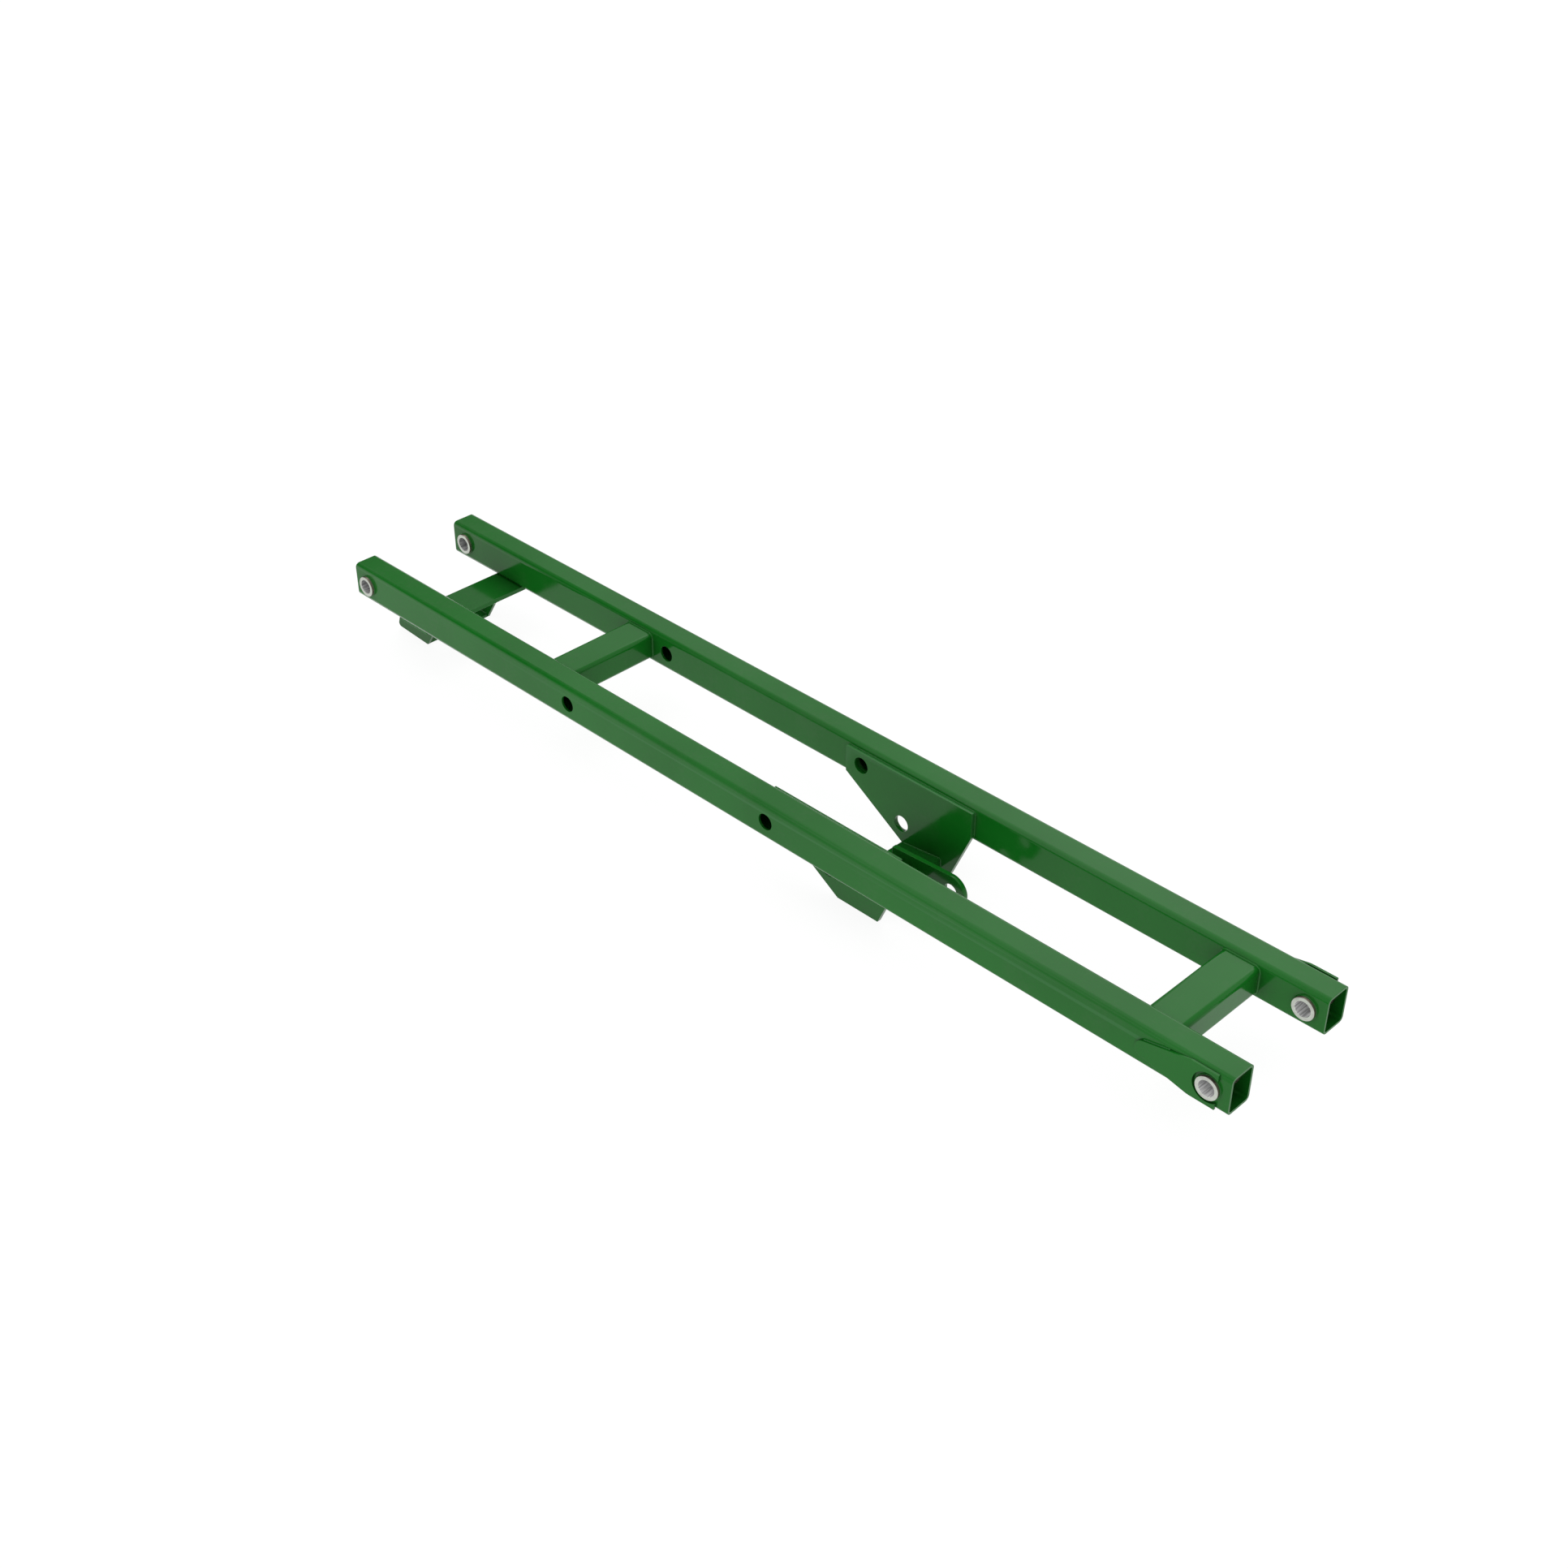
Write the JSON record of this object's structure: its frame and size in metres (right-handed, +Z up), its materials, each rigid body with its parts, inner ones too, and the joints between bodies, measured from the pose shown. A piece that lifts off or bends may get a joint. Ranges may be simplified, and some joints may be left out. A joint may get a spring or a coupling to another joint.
{
  "type": "lift arm frame",
  "caption": "Ladder-shaped welded arm of rectangular tube with pivot bosses at its ends, hanging gussets and a cylinder clevis.",
  "frame": {"origin": "on the rear pivot axis, midway between the two rails", "axes": "+X from the rear pivot to the front pivot, +Y along the pivot pins towards the left rail, +Z up"},
  "size_m": [3.008, 0.4442, 0.2378],
  "materials": {
    "green_paint": "gloss",
    "machined_steel": "machined"
  },
  "bodies": {
    "root": {"cylinder_bar": "green_paint", "cylinder_bar_welds": "green_paint", "cylinder_lug_welds": "green_paint", "doubler_welds": "green_paint", "front_boss_welds": "green_paint", "front_cross_tube": "green_paint", "front_cross_tube_welds": "green_paint", "left_cylinder_lug": "green_paint", "left_front_doubler": "green_paint", "left_front_pivot_boss": "machined_steel", "left_gusset": "green_paint", "left_gusset_welds": "green_paint", "left_pocket_side": "green_paint", "left_rail": "green_paint", "left_rear_pivot_boss": "machined_steel", "pocket_floor": "green_paint", "pocket_welds": "green_paint", "rear_bar": "green_paint", "rear_bar_welds": "green_paint", "rear_boss_welds": "green_paint", "rear_cross_tube": "green_paint", "rear_cross_tube_welds": "green_paint", "right_cylinder_lug": "green_paint", "right_front_doubler": "green_paint", "right_front_pivot_boss": "machined_steel", "right_gusset": "green_paint", "right_gusset_welds": "green_paint", "right_pocket_side": "green_paint", "right_rail": "green_paint", "right_rear_pivot_boss": "machined_steel"}
  },
  "joints": []
}
